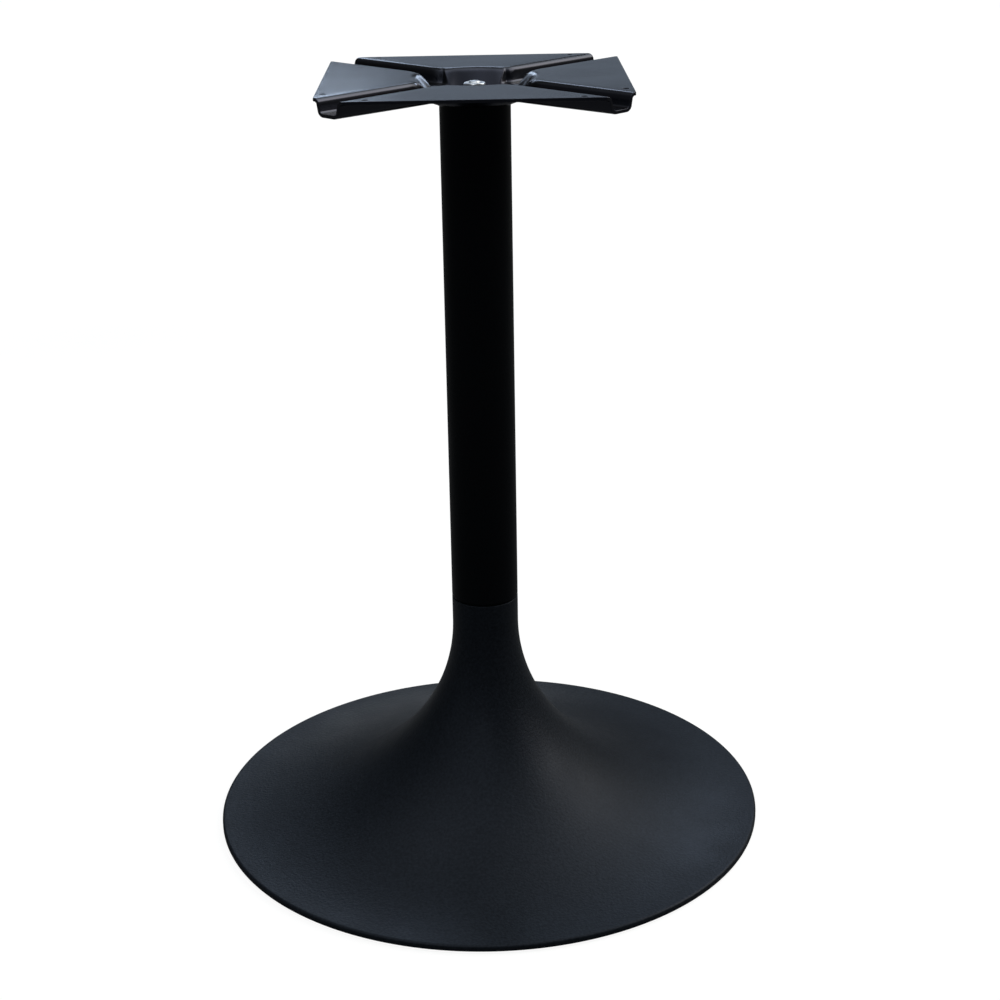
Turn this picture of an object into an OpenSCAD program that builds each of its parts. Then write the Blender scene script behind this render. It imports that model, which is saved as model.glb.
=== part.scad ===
// Pedestal base for a dining table: a flared cast foot, a round column and a pressed top plate,
// drawn together by one long threaded rod. The floor is z = 0 and the table top rests at z = total_h.

/* [Overall] */
// Height from the floor to the face that carries the table top
total_h = 720; // [500:5:1100]
// Outer diameter of the column and of the neck under it
column_d = 63; // [50:0.5:90]
// Wall of the column
column_wall = 2; // [1.5:0.5:4]
// Height of the joint between the foot's neck and the column
joint_z = 228; // [180:1:300]

/* [Flared foot] */
// Diameter over the rim
base_d = 530; // [420:5:700]
// Straight length of the neck under the joint, where the flare ends
neck_straight = 26; // [18:1:50]
// Thickness of the casting
wall = 5.5; // [4:0.5:8]
// Thickness of the rim at its edge
rim_t = 6; // [4:0.5:10]
// Width of the land under the rim
rim_land = 10; // [6:1:25]
// Rounding of the rim's upper edge
rim_round = 2.4; // [1:0.1:3]
// Gap between the rim and the floor
rim_gap = 2; // [1:0.5:4]
// Thickness of the web that closes the neck and takes the rod's pull
web_t = 12; // [8:1:18]
// Rounding where the web meets the neck from inside
web_round = 5; // [2:0.5:10]
// Rounding of the neck's edge at the joint
joint_round = 1.6; // [0.5:0.1:2]
// Height of the spigot that centres the column
spigot_h = 22; // [10:1:40]
// Wall of the spigot
spigot_wall = 5; // [3:0.5:8]

/* [Column] */
// Chamfer on the column's lower outer edge
column_chamfer = 1; // [0.5:0.1:1.4]

/* [Top plate] */
// Side of the square plate
plate_w = 265; // [230:1:340]
// Thickness of the sheet
sheet_t = 3; // [2:0.5:4]
// How far each corner is trimmed along both sides
corner_trim = 25.5; // [20:0.5:32]
// Half width of a diagonal channel, to where its shoulder leaves the flat
channel_half = 18.5; // [16:0.5:22]
// Depth of the channels, measured on the upper face
channel_depth = 12; // [8:0.5:14]
// Lean of the channels' walls from upright, in degrees
channel_lean = 20; // [5:1:35]
// Rounding of the channels' shoulders
channel_shoulder = 6; // [4.5:0.5:7]
// Rounding at the foot of the channels' walls
channel_fillet = 4; // [1:0.5:5]
// Depth of the middle dish, measured on the upper face
dish_depth = 19; // [17:0.5:26]
// How far the dish's flat floor reaches past the column
dish_lip = 4.5; // [2:0.5:10]
// Lean of the dish's wall from upright, in degrees
dish_lean = 38; // [15:1:45]
// Rounding of the dish's shoulder
dish_shoulder = 9; // [4.5:0.5:11]
// Rounding at the foot of the dish's wall
dish_fillet = 6; // [2:0.5:8]
// Diameter of the screw holes for the table top
screw_hole_d = 5.5; // [4:0.5:7]
// Distance of the screw holes from the plate's edge
screw_edge = 7; // [5:0.5:10]
// Distance of the screw holes from the end of the pad's outer edge
screw_end = 18; // [12:1:30]
// Height of the ring under the dish that centres the column
ring_h = 10; // [6:1:20]
// Wall of that ring
ring_wall = 3; // [2:0.5:5]

/* [Tie rod] */
// Thread diameter of the rod
rod_d = 12; // [10:1:16]
// Width of the nuts across their flats
nut_af = 18; // [16:0.5:26]
// Height of the nuts
nut_h = 10.8; // [8:0.1:16]
// Turn of the upper nut, in degrees
nut_turn = 21.3; // [0:0.1:60]
// Length of rod beyond the upper nut
rod_tip = 1.2; // [0.5:0.1:3]
// Length of rod beyond the lower nut
rod_tail = 3.5; // [1:0.5:20]
// Outer diameter of the upper washer
top_washer_d = 24; // [22:0.5:34]
// Thickness of the upper washer
top_washer_t = 2.5; // [1.5:0.1:4]
// Outer diameter of the lower washer
bottom_washer_d = 37; // [30:0.5:42]
// Thickness of the lower washer
bottom_washer_t = 3; // [2:0.5:5]

/* [Feet] */
// Distance from the rim to a foot's centre
foot_in = 70; // [50:1:110]
// Diameter of a foot's pad
pad_d = 30; // [24:1:40]
// Height of a foot's pad
pad_h = 5; // [4:0.5:8]
// Thread diameter of a foot's stud
stud_d = 8; // [6:1:10]
// How deep the stud is moulded into the pad
stud_sunk = 3; // [2:0.5:4]
// Diameter of the cast boss over a foot
boss_d = 26; // [20:1:36]
// Iron left over the end of a foot's hole
boss_skin = 3; // [2:0.5:5]
// Thickness of the rib that carries a boss
rib_t = 8; // [5:0.5:14]
// How far the rib stands from the inner face of the casting
rib_h = 8; // [4:0.5:14]
// Length of the rib, from the boss's centre towards the neck
rib_l = 85; // [50:1:110]

/* [Fits] */
// Clearance all round of the spigot and of the ring inside the column
sleeve_gap = 0.3; // [0.1:0.1:0.5]
// Clearance of a screwed thread, all round
thread_gap = 0.1; // [0.05:0.05:0.3]
// Clearance all round of the rod in its plain holes
rod_gap = 0.5; // [0.2:0.1:1]
// Room between a stud's end and the end of its hole
stud_gap = 0.5; // [0.2:0.1:1.5]

/* [Hidden] */
$fn = 96;
cut = 1;              // overrun of every cut
flare_steps = 30;     // bands along the flare
arc_steps = 6;        // facets of a rounding in a section

// Colours of the finishes
coat = "#1b1d21";
zinc = "#c4c7ca";
nylon = "#141516";

// The foot
neck_r = column_d / 2;
base_r = base_d / 2;
rim_top = rim_gap + rim_t;
flare_w = base_r - neck_r;
flare_h = joint_z - neck_straight - rim_top;
web_z = joint_z - web_t;
bore_r = neck_r - wall;
sleeve_r = neck_r - column_wall - sleeve_gap;
rod_hole_r = rod_d / 2 + rod_gap;
spigot_top = joint_z + spigot_h;
spigot_chamfer = spigot_wall / 3;

// The feet
foot_r = base_r - foot_in;
stud_hole_r = stud_d / 2 + thread_gap;
stud_hole_top = flare_z(foot_r + stud_hole_r) - boss_skin;
stud_top = stud_hole_top - stud_gap;
foot_turn = 45;
foot_step = 90;

// The stack over the column
dish_z = total_h - dish_depth;
column_top = dish_z - sheet_t;
top_nut_z = dish_z + top_washer_t;
rod_top = top_nut_z + nut_h + rod_tip;
bottom_nut_z = web_z - bottom_washer_t - nut_h;
rod_bottom = bottom_nut_z - rod_tail;

// The plate
plate_half = plate_w / 2;
edge_half = plate_half - corner_trim;
dish_floor_r = neck_r + dish_lip;
dish_rim_r = dish_floor_r + wall_run(dish_depth, dish_lean, dish_shoulder, dish_fillet);
screw_out = plate_half - screw_edge;
screw_along = edge_half - screw_end;
screw_places = [[-screw_along, screw_out], [screw_along, screw_out],
  [-screw_along, -screw_out], [screw_along, -screw_out],
  [-screw_out, -screw_along], [screw_out, -screw_along]];

// Points of an arc about c, from angle a to angle b
function arc(c, r, a, b) =
  [for (i = [0 : arc_steps]) c + r * [cos(a + (b - a) * i / arc_steps), sin(a + (b - a) * i / arc_steps)]];

// The flare is a quarter of an ellipse: upright at the neck (a = 0), level at the rim (a = 90)
function flare(a) = [neck_r + flare_w * (1 - cos(a)), rim_top + flare_h * (1 - sin(a))];

// The casting's inner face lies one wall inside the flare, square to it; d adds to the wall
function flare_inner(a, d = 0) =
  let (n = [flare_h * cos(a), flare_w * sin(a)]) flare(a) - (wall + d) * n / norm(n);

// Height of the flare over a radius
function flare_z(r) = rim_top + flare_h * (1 - sin(acos(1 - (r - neck_r) / flare_w)));

// Horizontal run of a pressed wall from its shoulder on the flat to its floor
function wall_run(depth, lean, shoulder, fillet) =
  (shoulder + fillet) * cos(lean) + (depth - (shoulder + fillet) * (1 - sin(lean))) * tan(lean);

// One side of a pressed section: shoulder, leaning wall and fillet, from the flat at u to the floor.
// off = 0 follows the sheet's upper face and off = sheet_t its lower face.
function pressed_side(u, depth, lean, shoulder, fillet, off = 0) =
  let (floor_u = u - wall_run(depth, lean, shoulder, fillet))
  concat(arc([u, -shoulder], shoulder - off, 90, 180 - lean),
    arc([floor_u, fillet - depth], fillet + off, -lean, -90));

function flipped(pts) = [for (i = [len(pts) - 1 : -1 : 0]) [-pts[i][0], pts[i][1]]];

// Section of the flared foot's outside, with the neck and the spigot on it
module foot_outline() {
  rim_r = base_r - rim_round;
  polygon(concat(
    [[0, rim_gap], [base_r - rim_round / 2, rim_gap], [base_r, rim_gap + rim_round / 2]],
    arc([rim_r, rim_top - rim_round], rim_round, 0, 90),
    [for (i = [flare_steps : -1 : 0]) let (p = flare(90 * i / flare_steps)) if (p[0] < rim_r) p],
    arc([neck_r - joint_round, joint_z - joint_round], joint_round, 0, 90),
    [[sleeve_r, joint_z], [sleeve_r, spigot_top - spigot_chamfer],
      [sleeve_r - spigot_chamfer, spigot_top], [sleeve_r - spigot_wall, spigot_top],
      [sleeve_r - spigot_wall, joint_z], [0, joint_z]]));
}

// Section of the hollow under the foot, d deeper than the casting's inner face
module hollow_outline(d = 0) {
  land_r = base_r - rim_land;
  inner = [for (i = [flare_steps : -1 : 0]) let (p = flare_inner(90 * i / flare_steps, d)) if (p[0] < land_r) p];
  polygon(concat(
    [[0, -cut], [land_r, -cut], [land_r, inner[0][1]]],
    inner,
    arc([bore_r - d - web_round, web_z - web_round], web_round, 0, 90),
    [[0, web_z]]));
}

// Four copies about the axis, over the feet
module at_feet() {
  for (i = [0 : 3]) rotate([0, 0, foot_turn + foot_step * i]) translate([foot_r, 0, 0]) children();
}

// Slabs that leave the ribs standing, one over each foot and none lower than its boss
module rib_slabs() {
  at_feet() translate([-rib_l, -rib_t / 2, pad_h]) cube([rib_l, rib_t, joint_z]);
}

// Bosses over the feet
module bosses() {
  at_feet() translate([0, 0, pad_h]) cylinder(d = boss_d, h = joint_z);
}

// Cast foot: flared shell, neck, web, spigot and the four bosses with their ribs
module base_shell() {
  color(coat)
  difference() {
    rotate_extrude() foot_outline();
    difference() {
      rotate_extrude() hollow_outline();
      rib_slabs();
      bosses();
    }
    difference() {
      rotate_extrude() hollow_outline(rib_h);
      bosses();
    }
    cylinder(r = rod_hole_r, h = joint_z + cut);
    at_feet() cylinder(r = stud_hole_r, h = stud_hole_top);
  }
}

// Round column, open at both ends
module column_tube() {
  color(coat)
  translate([0, 0, joint_z])
  rotate_extrude()
  polygon([[neck_r - column_wall, 0], [neck_r - column_chamfer, 0], [neck_r, column_chamfer],
    [neck_r, column_top - joint_z], [neck_r - column_wall, column_top - joint_z]]);
}

// Section across a diagonal channel
module channel_section(off, top) {
  side = pressed_side(channel_half, channel_depth, channel_lean, channel_shoulder, channel_fillet, off);
  polygon(concat([[channel_half, top]], side, flipped(side), [[-channel_half, top]]));
}

// Both channels, each running from corner to corner
module channels(off, top) {
  for (a = [-45, 45])
    rotate([0, 0, a]) rotate([90, 0, 0]) translate([0, 0, -plate_w])
    linear_extrude(height = 2 * plate_w) channel_section(off, top);
}

module dish(off, top) {
  side = pressed_side(dish_rim_r, dish_depth, dish_lean, dish_shoulder, dish_fillet, off);
  rotate_extrude() polygon(concat([[0, top], [dish_rim_r, top]], side, [[0, -dish_depth - off]]));
}

// Square with its corners trimmed at 45 degrees
module plate_outline() {
  p = plate_half;
  e = edge_half;
  polygon([[p, -e], [p, e], [e, p], [-e, p], [-p, e], [-p, -e], [-e, -p], [e, -p]]);
}

// Pressed plate: four flat pads, two crossed channels and a round dish in the middle
module top_plate() {
  deep = dish_depth + sheet_t + cut;
  color(coat)
  translate([0, 0, total_h])
  difference() {
    intersection() {
      union() {
        translate([0, 0, -sheet_t]) linear_extrude(height = sheet_t) plate_outline();
        channels(sheet_t, -sheet_t / 2);
        dish(sheet_t, -sheet_t / 2);
      }
      translate([0, 0, -deep]) linear_extrude(height = deep + cut) plate_outline();
    }
    channels(0, cut);
    dish(0, cut);
    translate([0, 0, -deep]) cylinder(r = rod_hole_r, h = deep);
    for (p = screw_places)
      translate([p[0], p[1], -sheet_t - cut]) cylinder(d = screw_hole_d, h = sheet_t + 2 * cut);
  }
}

// Ring welded under the dish, inside the column
module centring_ring() {
  color(coat)
  translate([0, 0, column_top - ring_h])
  difference() {
    cylinder(r = sleeve_r, h = ring_h);
    translate([0, 0, -cut]) cylinder(r = sleeve_r - ring_wall, h = ring_h + 2 * cut);
  }
}

module tie_rod() {
  tip = rod_d / 12;
  r = rod_d / 2;
  l = rod_top - rod_bottom;
  color(zinc)
  translate([0, 0, rod_bottom])
  rotate_extrude() polygon([[0, 0], [r - tip, 0], [r, tip], [r, l - tip], [r - tip, l], [0, l]]);
}

// Hexagon nut with both faces chamfered at the corners
module nut(z) {
  flat_r = nut_af / 2;
  corner_r = flat_r / cos(30);
  drop = (corner_r - flat_r) * tan(30);
  bore = rod_d / 2 + thread_gap;
  color(zinc)
  translate([0, 0, z])
  rotate([0, 0, nut_turn])
  difference() {
    intersection() {
      cylinder(r = corner_r, h = nut_h, $fn = 6);
      rotate_extrude() polygon([[0, 0], [flat_r, 0], [corner_r, drop],
        [corner_r, nut_h - drop], [flat_r, nut_h], [0, nut_h]]);
    }
    translate([0, 0, -cut]) cylinder(r = bore, h = nut_h + 2 * cut);
  }
}

module washer(z, d, t) {
  color(zinc)
  translate([0, 0, z])
  difference() {
    cylinder(d = d, h = t);
    translate([0, 0, -cut]) cylinder(r = rod_hole_r, h = t + 2 * cut);
  }
}

// Nylon pad under a boss, with the socket of its stud
module foot_pad(i) {
  edge = pad_h / 4;
  color(nylon)
  rotate([0, 0, foot_turn + foot_step * i])
  translate([foot_r, 0, 0])
  difference() {
    rotate_extrude() polygon([[0, 0], [pad_d / 2 - edge, 0], [pad_d / 2, edge],
      [pad_d / 2, pad_h - 2 * edge], [boss_d / 2, pad_h], [0, pad_h]]);
    translate([0, 0, pad_h - stud_sunk]) cylinder(r = stud_hole_r, h = stud_sunk + cut);
  }
}

module foot_stud(i) {
  tip = stud_d / 8;
  r = stud_d / 2;
  l = stud_top - (pad_h - stud_sunk);
  color(zinc)
  rotate([0, 0, foot_turn + foot_step * i])
  translate([foot_r, 0, pad_h - stud_sunk])
  rotate_extrude() polygon([[0, 0], [r, 0], [r, l - tip], [r - tip, l], [0, l]]);
}

base_shell();
column_tube();
top_plate();
centring_ring();
tie_rod();
nut(top_nut_z);  // top_nut
washer(dish_z, top_washer_d, top_washer_t);  // top_washer
nut(bottom_nut_z);  // bottom_nut
washer(web_z - bottom_washer_t, bottom_washer_d, bottom_washer_t);  // bottom_washer
foot_pad(0);  // foot_pad_1
foot_pad(1);  // foot_pad_2
foot_pad(2);  // foot_pad_3
foot_pad(3);  // foot_pad_4
foot_stud(0);  // foot_stud_1
foot_stud(1);  // foot_stud_2
foot_stud(2);  // foot_stud_3
foot_stud(3);  // foot_stud_4
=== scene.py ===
# Pedestal base for a dining table: flared cast foot, round column, pressed top plate, zinc fasteners.
# Lengths are millimetres until a mesh is filled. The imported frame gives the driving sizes.
import math

import bpy
import numpy as np
from mathutils import Matrix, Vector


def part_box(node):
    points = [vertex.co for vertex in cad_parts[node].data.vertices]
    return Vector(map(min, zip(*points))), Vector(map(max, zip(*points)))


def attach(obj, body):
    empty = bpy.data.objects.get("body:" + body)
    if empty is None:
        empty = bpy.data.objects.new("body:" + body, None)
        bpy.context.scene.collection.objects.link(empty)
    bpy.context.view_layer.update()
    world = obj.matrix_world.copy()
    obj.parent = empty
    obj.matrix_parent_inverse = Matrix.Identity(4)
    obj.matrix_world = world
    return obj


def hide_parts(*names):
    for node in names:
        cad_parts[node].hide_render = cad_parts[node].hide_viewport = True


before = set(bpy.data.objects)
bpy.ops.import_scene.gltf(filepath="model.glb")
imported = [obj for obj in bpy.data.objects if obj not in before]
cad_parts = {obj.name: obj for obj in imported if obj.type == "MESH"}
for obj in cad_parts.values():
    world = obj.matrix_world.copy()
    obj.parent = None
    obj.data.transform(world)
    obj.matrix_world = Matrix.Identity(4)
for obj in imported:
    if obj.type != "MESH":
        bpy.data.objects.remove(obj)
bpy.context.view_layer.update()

mm = 0.001


# Lowest and highest corner of a CAD node, in millimetres
def nodeBox(node):
    low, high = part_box(node)
    return np.array(low) / mm, np.array(high) / mm


footLow, footHigh = nodeBox("base_shell")
columnLow, columnHigh = nodeBox("column_tube")
plateHigh = nodeBox("top_plate")[1]
rodLow, rodHigh = nodeBox("tie_rod")
baseRadius = footHigh[0]
neckRadius = columnHigh[0]
jointHeight = columnLow[2]
totalHeight = plateHigh[2]
print("frame loaded, height", round(totalHeight, 1))


# Camera

cameraSizes = dict(
    place=(2.2, -1691.4, 962.8),  # in millimetres, from the foot's centre on the floor
    lens=68.92,                   # on a 36 mm sensor
    pitch=20.681, yaw=0.468, roll=-0.986,
)


# Looks along +Y, turned by yaw to the right, down by pitch and by roll about its own axis
def makeCamera(s):
    pitch, yaw, roll = (math.radians(s[k]) for k in ("pitch", "yaw", "roll"))
    ahead = np.array([math.sin(yaw) * math.cos(pitch), math.cos(yaw) * math.cos(pitch), -math.sin(pitch)])
    right = np.array([math.cos(yaw), -math.sin(yaw), 0])
    up = np.cross(right, ahead)
    right, up = math.cos(roll) * right + math.sin(roll) * up, math.cos(roll) * up - math.sin(roll) * right
    camera = bpy.data.objects.new("camera", bpy.data.cameras.new("camera"))
    camera.data.sensor_width = 36
    camera.data.lens = s["lens"]
    camera.data.clip_end = 100
    turn = Matrix(np.column_stack([right, up, -ahead]).tolist()).to_4x4()
    camera.matrix_world = Matrix.Translation(np.array(s["place"]) * mm) @ turn
    bpy.context.scene.collection.objects.link(camera)
    bpy.context.scene.camera = camera


makeCamera(cameraSizes)
bpy.context.scene.view_settings.view_transform = "Standard"


# Nodes and colours

# sRGB hex to a linear colour with alpha
def hexColour(text):
    share = np.array([int(text[k:k + 2], 16) for k in (1, 3, 5)]) / 255
    linear = np.where(share <= 0.04045, share / 12.92, ((share + 0.055) / 1.055) ** 2.4)
    return (*linear.tolist(), 1.0)


# Adds a node with its settings; an input's value is a number, a colour or another node's output
def addNode(tree, kind, settings=None, inputs=None):
    node = tree.nodes.new(kind)
    for key, value in (settings or {}).items():
        setattr(node, key, value)
    for key, value in (inputs or {}).items():
        if isinstance(value, bpy.types.NodeSocket):
            tree.links.new(value, node.inputs[key])
        else:
            node.inputs[key].default_value = value
    return node


def newMaterial(name):
    material = bpy.data.materials.new(name)
    material.use_nodes = True
    material.node_tree.nodes.clear()
    return material, material.node_tree


# Noise that repeats about every grain millimetres on Object coordinates
def grainScale(grain):
    return 1 / (grain * mm)


# Powder coat: polyester powder sprayed on bare metal and baked. It melts into a skin with a slight orange
# peel, so the eye gets a near-black surface whose sheen is broken up softly and rises at low angles.
castCoat = dict(
    dark="#080a0d", light="#23282f",  # the powder's own colour, mottled by its grain
    sheen="#dfe8ff",    # a cool cast in the skin's reflections
    ior=1.22, roughness=0.38, roughnessSpread=0.04,
    peelGrain=2.6, peelHeight=0.22,   # the powder's texture, under 3 mm from crest to crest
    waveGrain=45.0, waveHeight=0.03,  # waviness of the casting under the skin
    ringGrain=9.0, ringHeight=0.04,   # marks of the turning tool round the axis
)
# The column takes the foot's powder coat with its colour painted darker: painted shade for the little light
# that reaches the upright tube
shadedTubeCoat = dict(castCoat, dark="#060809", light="#0b0d10", ior=1.16, roughness=0.36, peelHeight=0.08,
                waveGrain=90.0, ringHeight=0.0)
sheetCoat = dict(castCoat, dark="#020304", light="#030406", sheen="#d9dfff", ior=1.5, roughness=0.21,
                 roughnessSpread=0.03, peelGrain=1.8, peelHeight=0.03, waveGrain=60.0, ringHeight=0.0)


def makePowderCoat(name, s):
    material, tree = newMaterial(name)
    place = addNode(tree, "ShaderNodeTexCoord").outputs["Object"]
    wave = addNode(tree, "ShaderNodeTexNoise", None,
                   {"Vector": place, "Scale": grainScale(s["waveGrain"]), "Detail": 2.0})
    peel = addNode(tree, "ShaderNodeTexNoise", None,
                   {"Vector": place, "Scale": grainScale(s["peelGrain"]), "Detail": 2.0, "Roughness": 0.6})
    # Distance from the axis less the height grows steadily from the neck to the rim
    flatPlace = addNode(tree, "ShaderNodeVectorMath", {"operation": "MULTIPLY"}, {0: place, 1: (1, 1, 0)})
    fromAxis = addNode(tree, "ShaderNodeVectorMath", {"operation": "LENGTH"},
                       {0: flatPlace.outputs["Vector"]})
    height = addNode(tree, "ShaderNodeSeparateXYZ", None, {"Vector": place})
    outwards = addNode(tree, "ShaderNodeMath", {"operation": "SUBTRACT"},
                       {0: fromAxis.outputs["Value"], 1: height.outputs["Z"]})
    ring = addNode(tree, "ShaderNodeTexNoise", {"noise_dimensions": "1D"},
                   {"W": outwards.outputs["Value"], "Scale": grainScale(s["ringGrain"]), "Detail": 1.0})
    colour = addNode(tree, "ShaderNodeMix", {"data_type": "RGBA"},
                     {"Factor": peel.outputs["Fac"], 6: hexColour(s["dark"]), 7: hexColour(s["light"])})
    gloss = addNode(tree, "ShaderNodeMapRange", None,
                    {"Value": wave.outputs["Fac"], "From Min": 0.3, "From Max": 0.7,
                     "To Min": s["roughness"] - s["roughnessSpread"],
                     "To Max": s["roughness"] + s["roughnessSpread"]})
    waveBump = addNode(tree, "ShaderNodeBump", None,
                       {"Height": wave.outputs["Fac"], "Distance": s["waveHeight"] * mm})
    ringBump = addNode(tree, "ShaderNodeBump", None,
                       {"Height": ring.outputs["Fac"], "Distance": s["ringHeight"] * mm,
                        "Normal": waveBump.outputs["Normal"]})
    peelBump = addNode(tree, "ShaderNodeBump", None,
                       {"Height": peel.outputs["Fac"], "Distance": s["peelHeight"] * mm,
                        "Normal": ringBump.outputs["Normal"]})
    shader = addNode(tree, "ShaderNodeBsdfPrincipled", None,
                     {"Base Color": colour.outputs[2], "Roughness": gloss.outputs["Result"],
                      "IOR": s["ior"], "Specular Tint": hexColour(s["sheen"]),
                      "Normal": peelBump.outputs["Normal"]})
    addNode(tree, "ShaderNodeOutputMaterial", None, {"Surface": shader.outputs["BSDF"]})
    return material


# Bright zinc plate: a few microns of zinc on steel, cleared to a cool silver. It gives the eye sharp but
# slightly milky reflections, with the fine marks of the tool under it.
zincPlate = dict(
    bright="#dcdfe3", dull="#c4c8cd",
    roughness=0.42, roughnessSpread=0.06,
    cloudGrain=5.0,     # clouding of the plate
    markGrain=0.55,     # tool marks
    markHeight=0.006,
)


def makeZinc(name, s):
    material, tree = newMaterial(name)
    place = addNode(tree, "ShaderNodeTexCoord").outputs["Object"]
    cloud = addNode(tree, "ShaderNodeTexNoise", None,
                    {"Vector": place, "Scale": grainScale(s["cloudGrain"]), "Detail": 4.0})
    marks = addNode(tree, "ShaderNodeTexNoise", None,
                    {"Vector": place, "Scale": grainScale(s["markGrain"]), "Detail": 2.0})
    colour = addNode(tree, "ShaderNodeMix", {"data_type": "RGBA"},
                     {"Factor": cloud.outputs["Fac"], 6: hexColour(s["dull"]), 7: hexColour(s["bright"])})
    gloss = addNode(tree, "ShaderNodeMapRange", None,
                    {"Value": cloud.outputs["Fac"], "From Min": 0.3, "From Max": 0.7,
                     "To Min": s["roughness"] + s["roughnessSpread"],
                     "To Max": s["roughness"] - s["roughnessSpread"]})
    bump = addNode(tree, "ShaderNodeBump", None,
                   {"Height": marks.outputs["Fac"], "Distance": s["markHeight"] * mm})
    shader = addNode(tree, "ShaderNodeBsdfPrincipled", None,
                     {"Base Color": colour.outputs[2], "Metallic": 1.0,
                      "Roughness": gloss.outputs["Result"], "Normal": bump.outputs["Normal"]})
    addNode(tree, "ShaderNodeOutputMaterial", None, {"Surface": shader.outputs["BSDF"]})
    return material


# Black polyamide, injection moulded in a spark-eroded tool: dull, with a fine even grain.
mouldedNylon = dict(
    dark="#0d0d0e", light="#151617",
    ior=1.53, roughness=0.5,
    grain=0.8,          # spark texture is 0.1 to 0.3 mm; drawn coarser to show
    grainHeight=0.02,
)


def makeNylon(name, s):
    material, tree = newMaterial(name)
    place = addNode(tree, "ShaderNodeTexCoord").outputs["Object"]
    grain = addNode(tree, "ShaderNodeTexNoise", None,
                    {"Vector": place, "Scale": grainScale(s["grain"]), "Detail": 3.0})
    colour = addNode(tree, "ShaderNodeMix", {"data_type": "RGBA"},
                     {"Factor": grain.outputs["Fac"], 6: hexColour(s["dark"]), 7: hexColour(s["light"])})
    bump = addNode(tree, "ShaderNodeBump", None,
                   {"Height": grain.outputs["Fac"], "Distance": s["grainHeight"] * mm})
    shader = addNode(tree, "ShaderNodeBsdfPrincipled", None,
                     {"Base Color": colour.outputs[2], "Roughness": s["roughness"], "IOR": s["ior"],
                      "Normal": bump.outputs["Normal"]})
    addNode(tree, "ShaderNodeOutputMaterial", None, {"Surface": shader.outputs["BSDF"]})
    return material


castMaterial = makePowderCoat("powder coat on cast iron", castCoat)
# The tube's material carries the coat's colour darkened as painted shade
shadedTubeMaterial = makePowderCoat("powder coat on steel tube with painted shade", shadedTubeCoat)
sheetMaterial = makePowderCoat("powder coat on sheet steel", sheetCoat)
zincMaterial = makeZinc("bright zinc plate on steel", zincPlate)
nylonMaterial = makeNylon("moulded black nylon", mouldedNylon)
print("materials made")


# Mesh building

# A new object at the origin from points in millimetres and arrays of quads and triangles
def makePiece(name, points, faceGroups, material, replaced=()):
    corners = np.concatenate([group.ravel() for group in faceGroups]).astype(np.int32)
    sides = np.concatenate([np.full(len(group), group.shape[1]) for group in faceGroups])
    starts = np.concatenate([[0], np.cumsum(sides)[:-1]]).astype(np.int32)
    mesh = bpy.data.meshes.new(name)
    mesh.vertices.add(len(points))
    mesh.vertices.foreach_set("co", (np.asarray(points) * mm).astype(np.float32).ravel())
    mesh.loops.add(len(corners))
    mesh.loops.foreach_set("vertex_index", corners)
    mesh.polygons.add(len(sides))
    mesh.polygons.foreach_set("loop_start", starts)
    mesh.polygons.foreach_set("use_smooth", np.ones(len(sides), bool))
    mesh.update(calc_edges=True)
    mesh.validate()
    mesh.materials.append(material)
    piece = bpy.data.objects.new(name, mesh)
    bpy.context.scene.collection.objects.link(piece)
    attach(piece, "root")
    if replaced:
        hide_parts(*replaced)
    print(name, "has", len(mesh.polygons), "faces")
    return piece


# Flat faces keep their own normal and only the small roundings blend
def keepFlatsFlat(piece):
    modifier = piece.modifiers.new("weighted normals", "WEIGHTED_NORMAL")
    modifier.keep_sharp = True


# Skin over rings of points (rings x columns x 3), each ring closed round the axis. With loop the last ring
# joins the first; without it the first and last rings are single points, the poles.
def ringSkin(rings, loop):
    count, columns = rings.shape[:2]
    i = np.arange(count if loop else count - 1)[:, None]
    j = np.arange(columns)[None, :]
    above = (i + 1) % count
    beside = (j + 1) % columns
    corners = (i * columns + j, i * columns + beside, above * columns + beside, above * columns + j)
    quads = np.stack(np.broadcast_arrays(*corners), -1)
    if loop:
        return rings.reshape(-1, 3), [quads.reshape(-1, 4)]
    points = np.vstack([rings[0, :1], rings[1:-1].reshape(-1, 3), rings[-1, :1]])
    lastPoint = len(points) - 1
    inner = quads[1:-1].reshape(-1, 4) - columns + 1
    column = np.arange(columns)
    nextColumn = (column + 1) % columns
    lastRing = lastPoint - columns
    bottom = np.stack([np.zeros_like(column), nextColumn + 1, column + 1], -1)
    top = np.stack([lastRing + column, lastRing + nextColumn, np.full_like(column, lastPoint)], -1)
    return points, [inner, bottom, top]


# Outline (x, y) whose corners (x, y, radius) are rounded: a corner becomes the arc of its radius that touches
# both of its sides, and stays a point where the radius is zero or at the ends of an open outline
def roundedOutline(corners, closed=True, arcStep=15.0):
    spots = np.array([corner[:2] for corner in corners], float)
    pieces = []
    for k, (x, y, radius) in enumerate(corners):
        isEnd = not closed and k in (0, len(corners) - 1)
        if radius == 0 or isEnd:
            pieces.append(spots[k:k + 1])
            continue
        back = spots[k - 1] - spots[k]
        ahead = spots[(k + 1) % len(corners)] - spots[k]
        back, ahead = back / np.linalg.norm(back), ahead / np.linalg.norm(ahead)
        half = 0.5 * math.acos(np.clip(back @ ahead, -1, 1))
        turn = math.pi - 2 * half
        bisector = (back + ahead) / np.linalg.norm(back + ahead)
        centre = spots[k] + bisector * radius / math.sin(half)
        first = spots[k] + back * radius / math.tan(half) - centre
        last = spots[k] + ahead * radius / math.tan(half) - centre
        steps = max(2, math.ceil(math.degrees(turn) / arcStep))
        t = np.linspace(0, 1, steps + 1)[:, None]
        pieces.append(centre + (np.sin((1 - t) * turn) * first + np.sin(t * turn) * last) / math.sin(turn))
    return np.vstack(pieces)


# Rings of an outline (radius, height) carried round the axis at the given angles
def revolve(outline, angles):
    radius, height = outline[:, :1], outline[:, 1:]
    x, y = radius * np.cos(angles), radius * np.sin(angles)
    return np.stack([x, y, np.broadcast_to(height, x.shape)], -1)


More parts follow.
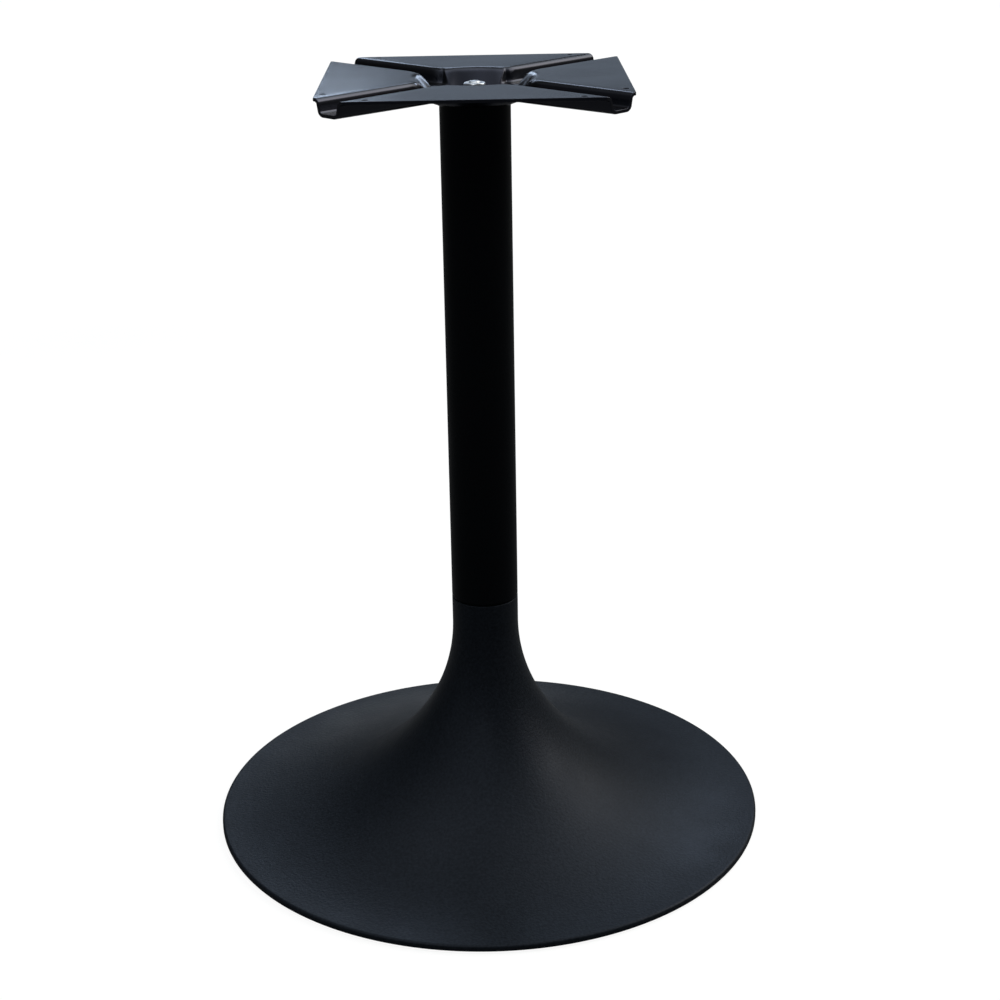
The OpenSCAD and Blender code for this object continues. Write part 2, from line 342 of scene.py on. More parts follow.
def evenAngles(columns):
    return np.arange(columns) * 2 * math.pi / columns


# 0 below low, 1 above high, and a smooth s between them
def smoothStep(value, low, high):
    t = np.clip((value - low) / (high - low), 0, 1)
    return t * t * (3 - 2 * t)


# The larger of two heights, with their crossing rounded over a band of width blend
def smoothMax(a, b, blend):
    overlap = np.maximum(blend - np.abs(a - b), 0)
    return np.maximum(a, b) + overlap ** 2 / (4 * np.maximum(blend, 1e-6))


# Flared foot

footSizes = dict(
    neckStraight=26.0,     # straight neck under the joint
    wall=5.5, rimThickness=6.0, rimLand=10.0, rimRound=2.4, rimUnderRound=1.2,
    webThickness=12.0, webRound=5.0, jointRound=0.5,
    spigotWall=5.0, spigotRound=1.2,
    spigotGap=2.3,         # from the column's outside to the spigot's
    rodHole=6.5,
    flareSamples=400, flareStep=5.0,  # points that the flare is worked out at, and spacing of its rings
    footIn=70.0,           # from the rim to a foot's centre
    bossRadius=13.0, padTop=5.0, bossDraft=6.0,
    ribThickness=8.0, ribHeight=8.0, ribLength=85.0, ribEdge=1.5, castFillet=2.5,
    ribEndSlope=3.0, ribRootFade=6.0,  # half the run of a rib's inner end, and where it ends under the boss
    ribEndFine=(6.0, 4.0),             # how far fine rings go inside and outside that inner end
    filletGrowth=2.0,                  # drop over which the cast fillet reaches its full size
    holeEdge=0.4, onLine=0.05,         # small edge rounding, and how near a point counts as on the inner line
    finePitch=1.0,         # spacing of the rings over bosses and rib ends
    fineAngle=0.3, coarseAngle=1.8, fineReach=4.8,  # in degrees, about each foot
)


# Quarter of an ellipse from the rim, where it is level, to the neck, where it is upright:
# radius = neck + width (1 - cos a), height = rim + rise (1 - sin a)
def flareCurve(s, a):
    rimTop = footLow[2] + s["rimThickness"]
    width = baseRadius - neckRadius
    rise = jointHeight - s["neckStraight"] - rimTop
    point = np.stack([neckRadius + width * (1 - np.cos(a)), rimTop + rise * (1 - np.sin(a))], -1)
    normal = np.stack([rise * np.cos(a), width * np.sin(a)], -1)
    return point, normal / np.linalg.norm(normal, axis=-1, keepdims=True)


# Points of a curve at even steps of its length
def evenSteps(curve, step):
    length = np.concatenate([[0], np.cumsum(np.linalg.norm(np.diff(curve, axis=0), axis=1))])
    stops = np.linspace(0, length[-1], math.ceil(length[-1] / step) + 1)
    return np.stack([np.interp(stops, length, curve[:, k]) for k in (0, 1)], -1)


# Values with those between low and high replaced by a run of fine steps
def refine(values, low, high, step):
    fine = np.linspace(low, high, math.ceil((high - low) / step) + 1)
    coarse = values[(values < low - step / 2) | (values > high + step / 2)]
    return np.sort(np.concatenate([coarse, fine]))


# Angles round the axis, fine near the four feet on the diagonals and coarse between them
def footAngles(s):
    fine = np.arange(-s["fineReach"], s["fineReach"], s["fineAngle"])
    gap = 90 - 2 * s["fineReach"]
    coarse = s["fineReach"] + np.arange(round(gap / s["coarseAngle"])) * gap / round(gap / s["coarseAngle"])
    quarter = np.concatenate([fine, coarse])
    return np.radians((quarter[None, :] + 45 + 90 * np.arange(4)[:, None]).ravel())


# Closed section of the casting, outside then inside, carried round the axis. The inner rings then drop by
# the larger of the rib's height over its band and the boss's depth under the flare, blended as a cast fillet.
def makeFoot(s):
    a = np.linspace(math.pi / 2, 0, s["flareSamples"])
    outer, normal = flareCurve(s, a)
    inner = outer - s["wall"] * normal
    outerLine = evenSteps(outer[outer[:, 0] < baseRadius - 1.5 * s["rimRound"]], s["flareStep"])
    footRadius = baseRadius - s["footIn"]
    landRadius = baseRadius - s["rimLand"]
    radii = evenSteps(inner[::-1], s["flareStep"])[:, 0]
    radii = radii[(radii > neckRadius - s["wall"] + 0.01) & (radii < landRadius - s["rimUnderRound"] * 2)]
    bossReach = s["bossRadius"] + 2 * s["castFillet"]
    radii = refine(radii, footRadius - bossReach, footRadius + bossReach, s["finePitch"])
    ribEnd = footRadius - s["ribLength"]
    radii = refine(radii, ribEnd - s["ribEndFine"][0], ribEnd + s["ribEndFine"][1], s["finePitch"])
    innerLine = np.stack([radii, np.interp(radii, inner[::-1, 0], inner[::-1, 1])], -1)
    landHeight = np.interp(landRadius, inner[::-1, 0], inner[::-1, 1])
    spigotRadius = neckRadius - s["spigotGap"]
    spigotInner = spigotRadius - s["spigotWall"]
    webHeight = jointHeight - s["webThickness"]
    rimRound, underRound = s["rimRound"], s["rimUnderRound"]
    corners = [(landRadius, footLow[2], underRound), (baseRadius, footLow[2], underRound),
               (baseRadius, footLow[2] + s["rimThickness"], rimRound)]
    corners += [(*p, 0) for p in outerLine]
    corners += [(neckRadius, jointHeight, s["jointRound"]), (spigotRadius, jointHeight, s["holeEdge"]),
                (spigotRadius, footHigh[2], s["spigotRound"]), (spigotInner, footHigh[2], s["spigotRound"]),
                (spigotInner, jointHeight, s["spigotRound"]), (s["rodHole"], jointHeight, s["holeEdge"]),
                (s["rodHole"], webHeight, s["holeEdge"]), (neckRadius - s["wall"], webHeight, s["webRound"])]
    corners += [(*p, 0) for p in innerLine]
    corners += [(landRadius, landHeight, underRound)]
    angles = footAngles(s)
    rings = revolve(roundedOutline(corners), angles)
    # The rings whose section point is on the inner line, from the neck out to the land
    radius = np.linalg.norm(rings[:, 0, :2], axis=1)
    height = rings[:, 0, 2]
    onInner = np.abs(height - np.interp(radius, inner[::-1, 0], inner[::-1, 1])) < s["onLine"]
    onInner &= (radius > neckRadius) & (radius < landRadius - underRound)
    r = radius[onInner, None]
    turn = (angles[None, :] % (math.pi / 2)) - math.pi / 4
    across, along = r * np.sin(turn), r * np.cos(turn) - footRadius
    surface = rings[onInner, :, 2]
    slope = np.gradient(inner[::-1, 1], inner[::-1, 0])
    upright = np.sqrt(1 + np.interp(r, inner[::-1, 0], slope) ** 2)
    halfRib = s["ribThickness"] / 2
    band = 1 - smoothStep(np.abs(across), halfRib - s["ribEdge"], halfRib + s["ribEdge"])
    reach = smoothStep(along, -s["ribLength"] - s["ribEndSlope"], -s["ribLength"] + s["ribEndSlope"])
    reach = reach * (1 - smoothStep(along, 0, s["ribRootFade"]))
    ribDrop = np.minimum(s["ribHeight"] * upright * band * reach, np.maximum(surface - s["padTop"], 0))
    outside = np.maximum(np.hypot(across, along) - s["bossRadius"], 0)
    bossDrop = np.maximum(surface - s["padTop"] - s["bossDraft"] * outside, 0)
    blend = s["castFillet"] * smoothStep(np.minimum(ribDrop, bossDrop), 0, s["filletGrowth"])
    drop = np.minimum(smoothMax(ribDrop, bossDrop, blend), np.maximum(surface - s["padTop"], 0))
    rings[onInner, :, 2] = surface - drop
    points, faces = ringSkin(rings, loop=True)
    foot = makePiece("flared_foot", points, faces, castMaterial, ["base_shell"])
    keepFlatsFlat(foot)


makeFoot(footSizes)


# Column

columnSizes = dict(wall=2.0, chamferDepth=1.1, chamferHeight=2.6, edgeRound=0.3, columns=160, bands=24)


# Section of the tube carried round the axis, its long sides cut into bands
def makeColumn(s):
    low, high = columnLow[2], columnHigh[2]
    inner = neckRadius - s["wall"]
    stops = np.linspace(low, high, s["bands"] + 1)[1:-1]
    corners = [(inner, low, s["edgeRound"]), (neckRadius - s["chamferDepth"], low, s["edgeRound"]),
               (neckRadius, low + s["chamferHeight"], s["edgeRound"])]
    corners += [(neckRadius, z, 0) for z in stops]
    corners += [(neckRadius, high, s["edgeRound"]), (inner, high, s["edgeRound"])]
    rings = revolve(roundedOutline(corners), evenAngles(s["columns"]))
    points, faces = ringSkin(rings, loop=True)
    column = makePiece("column", points, faces, shadedTubeMaterial, ["column_tube"])
    keepFlatsFlat(column)


makeColumn(columnSizes)


# Pressed top plate

plateSizes = dict(
    sheet=3.0, cornerTrim=25.5, edgeRound=0.5,
    channelHalf=16.8, channelLean=5.0, channelShoulder=6.0, channelFillet=4.0,
    channelDepthIn=13.0, channelDepthOut=12.0,    # at the dish, and at outReach half widths from the middle
    outReach=1.6,
    crownReach=10.0, crownDepth=0.16, crownMost=1.2,  # the pads fall away a little towards the channels
    crownFade=(12.0, 4.0),                        # which ends this far inside to outside the dish's rim
    dishDepth=19.0, dishFloor=36.0, dishLean=38.0, dishShoulder=9.0, dishFillet=6.0,
    padTip=12.0,           # rounding of the pads' corners at the dish
    stepRound=6.0, stepGrowth=6.0,  # rounding where a channel's floor drops into the dish
    rodHole=6.5, rodBlock=10.0,
    screwHole=2.75, screwBlock=4.2, screwEdge=7.0, screwEnd=18.0,
    fine=1.15, coarse=5.0, fineReach=58.0,        # spacing of the grid, and how far the fine part goes
    blockLines=6, channelLines=12,                # grid lines round the rod's hole and on to the trimmed corner
    nudge=0.02, edgeSteps=3,
)


# Distance from a pressed wall's edge to its flat floor: (R + r) cos a + (depth - (R + r)(1 - sin a)) tan a
def runOf(depth, lean, shoulder, fillet):
    lean, both = math.radians(lean), shoulder + fillet
    return both * math.cos(lean) + (depth - both * (1 - math.sin(lean))) * math.tan(lean)


# Depth of a pressed wall at a distance inside its edge: a round shoulder, a leaning wall and a round fillet,
# then the flat floor
def pressedDepth(inside, depth, lean, shoulder, fillet):
    run = runOf(depth, lean, shoulder, fillet)
    lean = math.radians(lean)
    shoulderEnd = shoulder * math.cos(lean)
    wallEnd = run - fillet * math.cos(lean)
    x = np.clip(inside, 0, run)
    onShoulder = shoulder - np.sqrt(shoulder ** 2 - np.minimum(x, shoulderEnd) ** 2)
    onWall = shoulder * (1 - math.sin(lean)) + (x - shoulderEnd) / math.tan(lean)
    left = np.minimum(run - x, fillet * math.cos(lean))
    onFillet = depth - fillet + np.sqrt(fillet ** 2 - left ** 2)
    return np.where(x < shoulderEnd, onShoulder, np.where(x < wallEnd, onWall, onFillet))


# Depth of the upper face below the pads. u and v run along the two diagonals. Each channel and the dish give
# a depth by their distance inside their own edge; where two edges meet, the distances are blended so that
# the pad's tip is round, and the deeper of the depths is taken with its crossing rounded. The pads' crown adds
# crownDepth (1 - distance / crownReach) ** 2 beside the channels, and nothing in the dish.
def plateDepth(s, u, v):
    r = np.hypot(u, v)
    dishShape = (s["dishDepth"], s["dishLean"], s["dishShoulder"], s["dishFillet"])
    dishRim = s["dishFloor"] + runOf(*dishShape)
    fromDish = r - dishRim
    along = smoothStep(r, dishRim, s["outReach"] * plateHigh[0])
    channelDepth = s["channelDepthIn"] + (s["channelDepthOut"] - s["channelDepthIn"]) * along
    fromChannels = [np.abs(w) - s["channelHalf"] for w in (v, u)]
    tip = s["padTip"]
    shape = (s["channelLean"], s["channelShoulder"], s["channelFillet"])
    depths = []
    for away in fromChannels:
        pull = np.maximum(tip - np.abs(away - fromDish), 0) ** 2 / (4 * tip)
        depths.append(pressedDepth(pull - away, channelDepth, *shape))
    nearest = np.minimum(*fromChannels)
    crown = s["crownDepth"] * np.clip(1 - nearest / s["crownReach"], 0, s["crownMost"]) ** 2
    crown = crown * smoothStep(r, dishRim - s["crownFade"][0], dishRim + s["crownFade"][1])
    pull = np.maximum(tip - np.abs(nearest - fromDish), 0) ** 2 / (4 * tip)
    dish = pressedDepth(pull - fromDish, *dishShape)
    channel = np.maximum(*depths)
    blend = s["stepRound"] * smoothStep(np.minimum(channel, dish), 0, s["stepGrowth"])
    return crown + smoothMax(channel, dish, blend)


# Grid lines from the middle outwards. Beyond the trimmed corner's half width they mirror about half the
# plate's diagonal, so that the straight sides pass through grid points, and each hole has lines of its own.
def plateLines(s, halfDiagonal, trimHalf, holes):
    inHole = s["rodHole"] * np.array([0, 1 / 3, 2 / 3, 5 / 6])
    inner = np.concatenate([inHole, np.linspace(s["rodHole"], s["rodBlock"], s["blockLines"])[:-1],
                            np.linspace(s["rodBlock"], trimHalf, s["channelLines"])])
    offsets = s["screwHole"] * np.array([-1, -0.6, -0.2, 0.2, 0.6, 1])
    offsets = np.concatenate([[-s["screwBlock"]], offsets, [s["screwBlock"]]])
    near, far = holes
    marks = [trimHalf, s["fineReach"], halfDiagonal / 2]
    stops = np.sort(np.concatenate([marks, near + offsets, halfDiagonal - far - offsets]))
    runs = []
    for low, high in zip(stops[:-1], stops[1:]):
        step = s["fine"] if high <= s["fineReach"] + 0.01 else s["coarse"]
        runs.append(np.linspace(low, high, max(1, round((high - low) / step)) + 1)[:-1])
    lower = np.concatenate(runs)
    mirrored = halfDiagonal - np.concatenate([lower, [halfDiagonal / 2]])[::-1]
    positive = np.concatenate([inner[:-1], lower, mirrored])
    return np.concatenate([-positive[:0:-1], positive])


# Moves grid points in the square block about a centre so that the square of half width hole becomes a circle
def warpToCircle(u, v, centre, hole, block):
    du, dv = u - centre[0], v - centre[1]
    square = np.maximum(np.abs(du), np.abs(dv))
    radius = np.maximum(np.hypot(du, dv), 1e-9)
    share = np.where(square <= block + 1e-6, np.clip((block - square) / (block - hole), 0, 1), 0)
    scale = 1 - share + share * square / radius
    return centre[0] + du * scale, centre[1] + dv * scale


# Upper face as a height over the grid, under face one sheet below it along the normal, and a rounded edge
# band between their borders, round the outline and every hole
def makePlate(s):
    half = plateHigh[0]
    halfDiagonal = half * math.sqrt(2)
    trimHalf = s["cornerTrim"] / math.sqrt(2)
    out, along = half - s["screwEdge"], half - s["cornerTrim"] - s["screwEnd"]
    screwSpots = [(-along, out), (along, out), (-along, -out), (along, -out), (-out, -along), (out, -along)]
    screws = [((x + y) / math.sqrt(2), (y - x) / math.sqrt(2)) for x, y in screwSpots]
    near, far = (out - along) / math.sqrt(2), (out + along) / math.sqrt(2)
    lines = plateLines(s, halfDiagonal, trimHalf, (near, far))
    u, v = np.meshgrid(lines, lines, indexing="ij")
    reach = halfDiagonal - trimHalf + 1e-6
    inside = (np.abs(u) + np.abs(v) <= halfDiagonal + 1e-6) & (np.abs(u) <= reach) & (np.abs(v) <= reach)
    middles = (lines[1:] + lines[:-1]) / 2
    cu, cv = np.meshgrid(middles, middles, indexing="ij")
    drilled = np.maximum(np.abs(cu), np.abs(cv)) < s["rodHole"]
    for spot in screws:
        drilled |= np.maximum(np.abs(cu - spot[0]), np.abs(cv - spot[1])) < s["screwHole"]
    index = np.arange(u.size).reshape(u.shape)
    cell = np.stack([index[:-1, :-1], index[1:, :-1], index[1:, 1:], index[:-1, 1:]], -1)[~drilled]
    within = inside.ravel()[cell]
    quads = cell[within.all(1)]
    cut = cell[within.sum(1) == 3]
    missing = np.argmin(inside.ravel()[cut], axis=1)[:, None]
    triangles = np.take_along_axis(cut, (missing + np.array([1, 2, 3])) % 4, axis=1)
    u, v = warpToCircle(u, v, (0, 0), s["rodHole"], s["rodBlock"])
    for spot in screws:
        u, v = warpToCircle(u, v, spot, s["screwHole"], s["screwBlock"])
    used, flat = np.unique(np.concatenate([quads.ravel(), triangles.ravel()]), return_inverse=True)
    quads, triangles = flat[:quads.size].reshape(-1, 4), flat[quads.size:].reshape(-1, 3)
    u, v = u.ravel()[used], v.ravel()[used]
    # Border edges run with the material on their left, so their outside is on the right
    edges = np.vstack([np.stack([f, np.roll(f, -1, axis=1)], -1).reshape(-1, 2) for f in (quads, triangles)])
    forward, backward = edges[:, 0] * len(used) + edges[:, 1], edges[:, 1] * len(used) + edges[:, 0]
    border = edges[~np.isin(forward, backward)]
    du, dv = u[border[:, 1]] - u[border[:, 0]], v[border[:, 1]] - v[border[:, 0]]
    outward = np.stack([dv, -du], -1) / np.hypot(du, dv)[:, None]
    push = np.zeros((len(used), 2))
    np.add.at(push, border[:, 0], outward)
    np.add.at(push, border[:, 1], outward)
    rim = np.unique(border)
    mitre = push[rim] / np.maximum((push[rim] ** 2).sum(1, keepdims=True) / 2, 1e-9)
    u[rim] -= mitre[:, 0] * s["edgeRound"]
    v[rim] -= mitre[:, 1] * s["edgeRound"]
    nudge = s["nudge"]
    slopeU = (plateDepth(s, u + nudge, v) - plateDepth(s, u - nudge, v)) / (2 * nudge)
    slopeV = (plateDepth(s, u, v + nudge) - plateDepth(s, u, v - nudge)) / (2 * nudge)
    normal = np.stack([slopeU, slopeV, np.ones_like(u)], -1)
    normal /= np.linalg.norm(normal, axis=1, keepdims=True)
    top = np.stack([u, v, totalHeight - plateDepth(s, u, v)], -1)
    under = top - s["sheet"] * normal
    aside = np.column_stack([mitre, np.zeros(len(rim))]) * s["edgeRound"]
    up = normal[rim] * s["edgeRound"]
    turns = np.linspace(0, math.pi / 2, s["edgeSteps"] + 1)[1:]
    upper = [top[rim] - up + up * math.cos(t) + aside * math.sin(t) for t in turns]
    lower = [under[rim] + up - up * math.cos(t) + aside * math.sin(t) for t in turns[::-1]]
    count = len(used)
    order = np.full(count, -1)
    order[rim] = np.arange(len(rim))
    ringStarts = 2 * count + np.arange(len(upper) + len(lower)) * len(rim)
    first, second = border[:, 0], border[:, 1]
    rows = [(first, second)] + [(k + order[first], k + order[second]) for k in ringStarts]
    rows.append((first + count, second + count))
    bands = np.vstack([np.stack([b, a, c, d], -1) for (a, b), (c, d) in zip(rows[:-1], rows[1:])])
    points = np.vstack([top, under, *upper, *lower])
    points = np.column_stack([(points[:, 0] - points[:, 1]) / math.sqrt(2),
                              (points[:, 0] + points[:, 1]) / math.sqrt(2), points[:, 2]])
    faces = [np.vstack([quads, quads[:, ::-1] + count, bands]),
             np.vstack([triangles, triangles[:, ::-1] + count])]
    plate = makePiece("pressed_plate", points, faces, sheetMaterial, ["top_plate"])
    keepFlatsFlat(plate)


makePlate(plateSizes)


# Fasteners

nutSizes = dict(acrossFlats=18.0, turn=21.3, bore=6.1, mouth=6.6, faceShare=0.955, chamferSlope=30.0,
                cornerRound=0.25, cornerBlend=0.4, edge=0.22, columns=144)


# Section whose outer radius follows a hexagon round the axis, cut back at both faces by a 30 degree cone
def makeNut(name, s):
    nodeLow, nodeHigh = nodeBox(name)
    low, high = nodeLow[2], nodeHigh[2]
    angles = evenAngles(s["columns"])
    flat = s["acrossFlats"] / 2
    fromFlat = (np.degrees(angles) - s["turn"] + 30) % 60 - 30
    # The solid's corners stand at its turn, so its flats lie half a side further on
    fromFlat = (fromFlat + 60) % 60 - 30
    hexagon = flat / np.cos(np.radians(fromFlat))
    corner = flat / math.cos(math.pi / 6) - s["cornerRound"]
    hexagon = -smoothMax(-hexagon, np.full_like(hexagon, -corner), s["cornerBlend"])
    face = flat * s["faceShare"]
    drop = (hexagon - face) * math.tan(math.radians(s["chamferSlope"]))
    edge = s["edge"]
    bore = np.full_like(angles, s["bore"])
    mouth = np.full_like(angles, s["mouth"])
    faceLine = np.full_like(angles, face)
    depth = s["mouth"] - s["bore"]
    rows = [(mouth, low), (mouth + edge, low), (faceLine - edge, low),
            (faceLine + edge / 2, low + edge / 4), (hexagon - edge, low + drop - edge / 2),
            (hexagon, low + drop + edge), (hexagon, low + drop + 2 * edge)]
    rows += [(radius, low + high - height) for radius, height in rows[::-1]]
    rows += [(bore, high - depth), (bore, low + depth)]
    rings = np.stack([np.stack([radius * np.cos(angles), radius * np.sin(angles),
                                np.broadcast_to(height, radius.shape)], -1) for radius, height in rows])
    points, faces = ringSkin(rings, loop=True)
    nut = makePiece(name + "_turned", points, faces, zincMaterial, [name])
    keepFlatsFlat(nut)


washerSizes = dict(bore=6.5, upperRound=0.7, lowerRound=0.25, boreRound=0.3, columns=128)


# Flat ring, its upper outer edge drawn round by the punch
def makeWasher(name, s):
    low, high = nodeBox(name)
    corners = [(s["bore"], low[2], s["boreRound"]), (high[0], low[2], s["lowerRound"]),
               (high[0], high[2], s["upperRound"]), (s["bore"], high[2], s["boreRound"])]
    rings = revolve(roundedOutline(corners), evenAngles(s["columns"]))
    points, faces = ringSkin(rings, loop=True)
    washer = makePiece(name + "_punched", points, faces, zincMaterial, [name])
    keepFlatsFlat(washer)


rodSizes = dict(pitch=1.75, threadDepth=1.07, crestShare=0.125, rootShare=0.25,
                topThread=45.0, bottomThread=60.0, runOut=4.0, shankRadius=5.43,
                tipSlope=1.0, tipRadius=4.7, rowStep=0.22, shankRows=40, columns=48)


# Radius of the rolled thread: along the helix it is flat at the crest, straight down the flank and flat at
# the root; it fades to the plain shank at its run-out, and a cone cuts both ends
def makeRod(s):
    low, high = rodLow[2], rodHigh[2]
    major = rodHigh[0]
    angles = evenAngles(s["columns"])[None, :]
    lowerEnd, upperStart = low + s["bottomThread"], high - s["topThread"]
    heights = np.concatenate([
        np.linspace(low, lowerEnd, round((lowerEnd - low) / s["rowStep"])),
        np.linspace(lowerEnd, upperStart, s["shankRows"])[1:-1],
        np.linspace(upperStart, high, round((high - upperStart) / s["rowStep"]))])[:, None]
    phase = (heights / s["pitch"] - angles / (2 * math.pi)) % 1
    fromCrest = np.abs(phase - 0.5) * 2
    flank = (fromCrest - s["crestShare"]) / (1 - s["crestShare"] - s["rootShare"])
    thread = major - s["threadDepth"] * np.clip(flank, 0, 1)
    shank = smoothStep(heights, lowerEnd - s["runOut"], lowerEnd)
    shank = shank * (1 - smoothStep(heights, upperStart, upperStart + s["runOut"]))
    radius = thread + (s["shankRadius"] - thread) * shank
    fromEnd = np.minimum(heights - low, high - heights)
    radius = np.minimum(radius, s["tipRadius"] + s["tipSlope"] * fromEnd)
    rings = np.stack([radius * np.cos(angles), radius * np.sin(angles),
                      np.broadcast_to(heights, radius.shape)], -1)
    poles = [np.broadcast_to([0, 0, z], (1, angles.size, 3)) for z in (low, high)]
    points, faces = ringSkin(np.concatenate([poles[0], rings, poles[1]]), loop=False)
    makePiece("tie_rod_threaded", points, faces, zincMaterial, ["tie_rod"])


for name in ("top_nut", "bottom_nut"):
    makeNut(name, nutSizes)
for name in ("top_washer", "bottom_washer"):
    makeWasher(name, washerSizes)
makeRod(rodSizes)


# Feet

padSizes = dict(edgeRound=0.8, upperRound=0.5, recessIn=5.0, recessOut=11.0, recessDepth=0.8,
                recessRound=0.3, columns=96)


# Moulded disc with a shallow ring recess in its sole, carried round the foot's own axis
def makePad(name, s):
    low, high = nodeBox(name)
    middle, radius = (low + high) / 2, (high[0] - low[0]) / 2
    sole, recess = low[2], low[2] + s["recessDepth"]
    small = s["recessRound"]
    corners = [(0, sole, 0), (s["recessIn"], sole, small), (s["recessIn"], recess, small),
               (s["recessOut"], recess, small), (s["recessOut"], sole, small),
               (radius, sole, s["edgeRound"]), (radius, high[2], s["upperRound"]), (0, high[2], 0)]
    rings = revolve(roundedOutline(corners, closed=False), evenAngles(s["columns"]))
    rings[:, :, :2] += middle[:2]
    points, faces = ringSkin(rings, loop=False)
    pad = makePiece(name + "_moulded", points, faces, nylonMaterial, [name])
    keepFlatsFlat(pad)


for number in "1234":
    makePad("foot_pad_" + number, padSizes)

# The studs and the centring ring are hidden in the assembly and stay as the solids
hiddenSolids = [("foot_stud_" + number, zincMaterial) for number in "1234"]
hiddenSolids.append(("centring_ring", sheetMaterial))
for name, material in hiddenSolids:
    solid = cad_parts[name]
    solid.data.materials.clear()
    solid.data.materials.append(material)
print("pieces made")


# Light

studioSizes = dict(
    cool="#d6e8ff", plain="#f6fcff", warm="#fffaf0",
    # Soft lights of the studio: azimuth from +Y towards +X, elevation, spread and strength, and the tint.
    # A strength of 1 is white.
    softLights=[
        (68, 42, 10, 3.9, "warm"),      # large softbox on the right, a little behind
        (88, 42, 10, 2.8, "warm"),
        (40, 48, 9, 2.4, "plain"),      # smaller softbox behind the object
        (45, 24, 10, 0.5, "warm"),      # panel low beside it
        (60, 64, 13, 0.3, "plain"),
        (120, 48, 13, 0.4, "plain"),
        (-120, 30, 14, 0.5, "plain"),
        (-90, 64, 13, 0.7, "plain"),
        (-165, 48, 13, 1.2, "plain"),   # lamp over the camera
        (0, 86, 14, 1.9, "plain"),      # ceiling
    ],
    cardsBack=2000.0,      # a window wall behind, made of cards: x, height, width, tall, strength and tint
    cards=[
        (-400, 1350, 400, 300, 5.4, "cool"),
        (-700, 1620, 1000, 560, 1.6, "cool"),
        (0, 1950, 400, 900, 2.4, "cool"),
        (900, 1550, 600, 700, 4.6, "cool"),
        (-200, 450, 800, 300, 1.4, "plain"),
        (-700, 750, 1000, 300, 0.6, "cool"),
        (200, 900, 800, 600, 0.35, "cool"),
    ],
    mirrorShare=0.04,      # how much of the white backdrop the finishes mirror
)


# Strength of a white backdrop by the kind of ray: all of it for the camera and through clear things, and a
# share of it in mirrors
def backdropStrength(tree, white, mirrorShare):
    ray = addNode(tree, "ShaderNodeLightPath")
    seen = addNode(tree, "ShaderNodeMath", {"operation": "MAXIMUM"},
                   {0: ray.outputs["Is Camera Ray"], 1: ray.outputs["Is Transmission Ray"]})
    direct = addNode(tree, "ShaderNodeMath", {"operation": "MULTIPLY"}, {0: seen.outputs["Value"], 1: white})
    both = addNode(tree, "ShaderNodeMath", {"operation": "MULTIPLY_ADD"},
                   {0: ray.outputs["Is Glossy Ray"], 1: mirrorShare, 2: direct.outputs["Value"]})
    return both.outputs["Value"], seen.outputs["Value"]


# White backdrop for the camera, and for everything else the sum of the soft lights. Each of them is
# strength * exp((cos(angle from its middle) - 1) / spread ** 2).
def makeStudio(s):
    world = bpy.data.worlds.new("studio")
    bpy.context.scene.world = world
    world.use_nodes = True
    tree = world.node_tree
    tree.nodes.clear()
    way = addNode(tree, "ShaderNodeTexCoord").outputs["Generated"]
    total = (0, 0, 0)
    for azimuth, elevation, spread, strength, tint in s["softLights"]:
        azimuth, elevation, spread = (math.radians(angle) for angle in (azimuth, elevation, spread))
        middle = (math.sin(azimuth) * math.cos(elevation), math.cos(azimuth) * math.cos(elevation),
                  math.sin(elevation))
        facing = addNode(tree, "ShaderNodeVectorMath", {"operation": "DOT_PRODUCT"}, {0: way, 1: middle})
        apart = addNode(tree, "ShaderNodeMath", {"operation": "SUBTRACT"},
                        {0: facing.outputs["Value"], 1: 1.0})
        steep = addNode(tree, "ShaderNodeMath", {"operation": "DIVIDE"},
                        {0: apart.outputs["Value"], 1: spread ** 2})
        lobe = addNode(tree, "ShaderNodeMath", {"operation": "EXPONENT"}, {0: steep.outputs["Value"]})
        colour = [strength * share for share in hexColour(s[tint])[:3]]
        part = addNode(tree, "ShaderNodeVectorMath", {"operation": "SCALE"},
                       {0: colour, "Scale": lobe.outputs["Value"]})
        total = addNode(tree, "ShaderNodeVectorMath", {"operation": "ADD"},
                        {0: part.outputs["Vector"], 1: total}).outputs["Vector"]
    white, seen = backdropStrength(tree, 1.0, s["mirrorShare"])
    unseen = addNode(tree, "ShaderNodeMath", {"operation": "SUBTRACT"}, {0: 1.0, 1: seen})
    lights = addNode(tree, "ShaderNodeBackground", None,
                     {"Color": total, "Strength": unseen.outputs["Value"]})
    backdrop = addNode(tree, "ShaderNodeBackground", None, {"Color": (1, 1, 1, 1), "Strength": white})
    both = addNode(tree, "ShaderNodeAddShader", None,
                   {0: lights.outputs["Background"], 1: backdrop.outputs["Background"]})
    addNode(tree, "ShaderNodeOutputWorld", None, {"Surface": both.outputs["Shader"]})


floorSizes = dict(reach=15000.0, paper=0.14, glow=0.91)


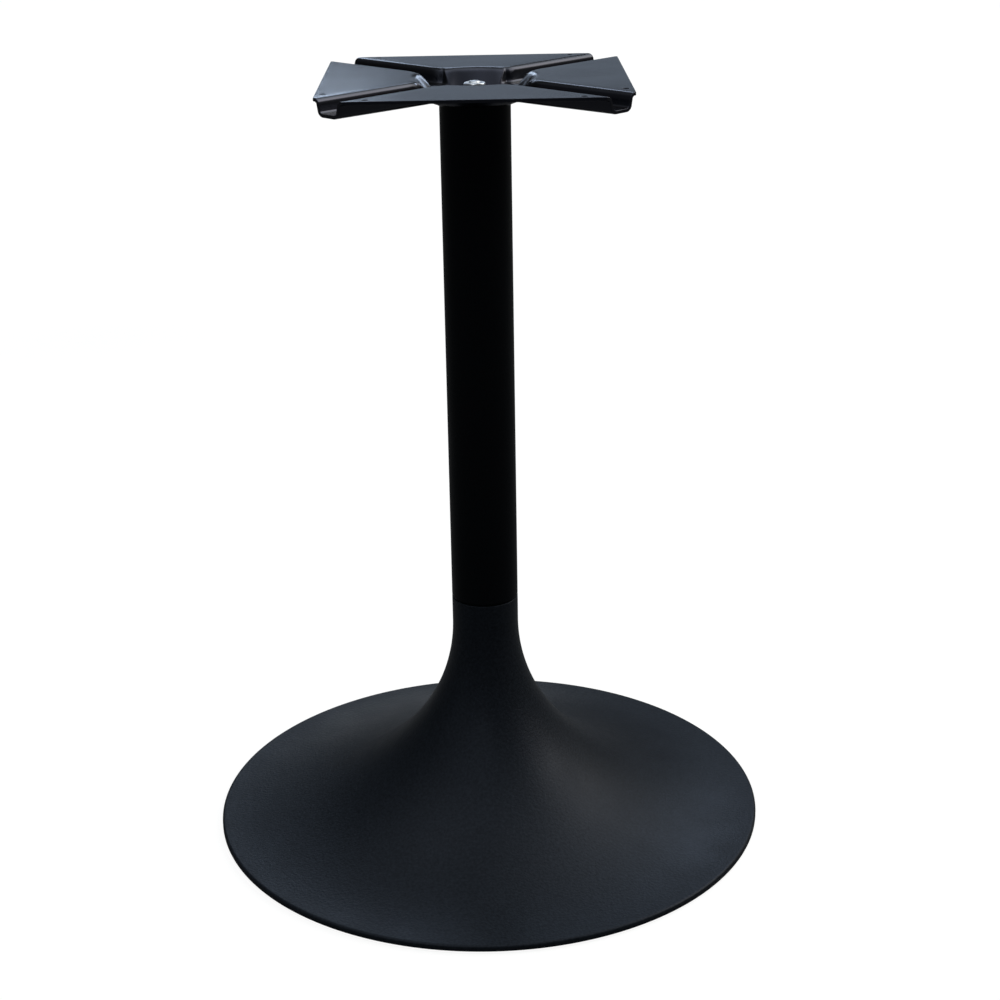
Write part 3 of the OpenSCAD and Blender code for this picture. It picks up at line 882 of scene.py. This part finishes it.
# White floor: its glow and the light on it make pure white together, so it darkens a little under the object.
# It is clear from below, so that the underside can be looked at.
def makeFloor(s):
    material, tree = newMaterial("white paper floor")
    paper = addNode(tree, "ShaderNodeBsdfDiffuse", None, {"Color": (s["paper"], s["paper"], s["paper"], 1)})
    strength, seen = backdropStrength(tree, s["glow"], 0.0)
    glow = addNode(tree, "ShaderNodeEmission", None, {"Color": (1, 1, 1, 1), "Strength": strength})
    both = addNode(tree, "ShaderNodeAddShader", None, {0: paper.outputs["BSDF"], 1: glow.outputs["Emission"]})
    side = addNode(tree, "ShaderNodeNewGeometry")
    clear = addNode(tree, "ShaderNodeBsdfTransparent")
    sides = addNode(tree, "ShaderNodeMixShader", None,
                    {0: side.outputs["Backfacing"], 1: both.outputs["Shader"], 2: clear.outputs["BSDF"]})
    addNode(tree, "ShaderNodeOutputMaterial", None, {"Surface": sides.outputs["Shader"]})
    mesh = bpy.data.meshes.new("floor")
    corner = s["reach"] * mm
    mesh.from_pydata([(-corner, -corner, 0), (corner, -corner, 0), (corner, corner, 0), (-corner, corner, 0)],
                     [], [(0, 1, 2, 3)])
    mesh.materials.append(material)
    floor = bpy.data.objects.new("floor", mesh)
    bpy.context.scene.collection.objects.link(floor)


# Upright glowing rectangles that light the object and stay out of the camera's sight
def makeCards(s):
    back = s["cardsBack"] * mm
    for x, height, width, tall, strength, tint in s["cards"]:
        material, tree = newMaterial("glowing card")
        glow = addNode(tree, "ShaderNodeEmission", None, {"Color": hexColour(s[tint]), "Strength": strength})
        addNode(tree, "ShaderNodeOutputMaterial", None, {"Surface": glow.outputs["Emission"]})
        left, right = (x - width / 2) * mm, (x + width / 2) * mm
        low, high = (height - tall / 2) * mm, (height + tall / 2) * mm
        mesh = bpy.data.meshes.new("card")
        mesh.from_pydata([(left, back, low), (right, back, low), (right, back, high), (left, back, high)],
                         [], [(0, 1, 2, 3)])
        mesh.materials.append(material)
        card = bpy.data.objects.new("card", mesh)
        card.visible_camera = False
        bpy.context.scene.collection.objects.link(card)


makeStudio(studioSizes)
makeCards(studioSizes)
makeFloor(floorSizes)
print("studio made")
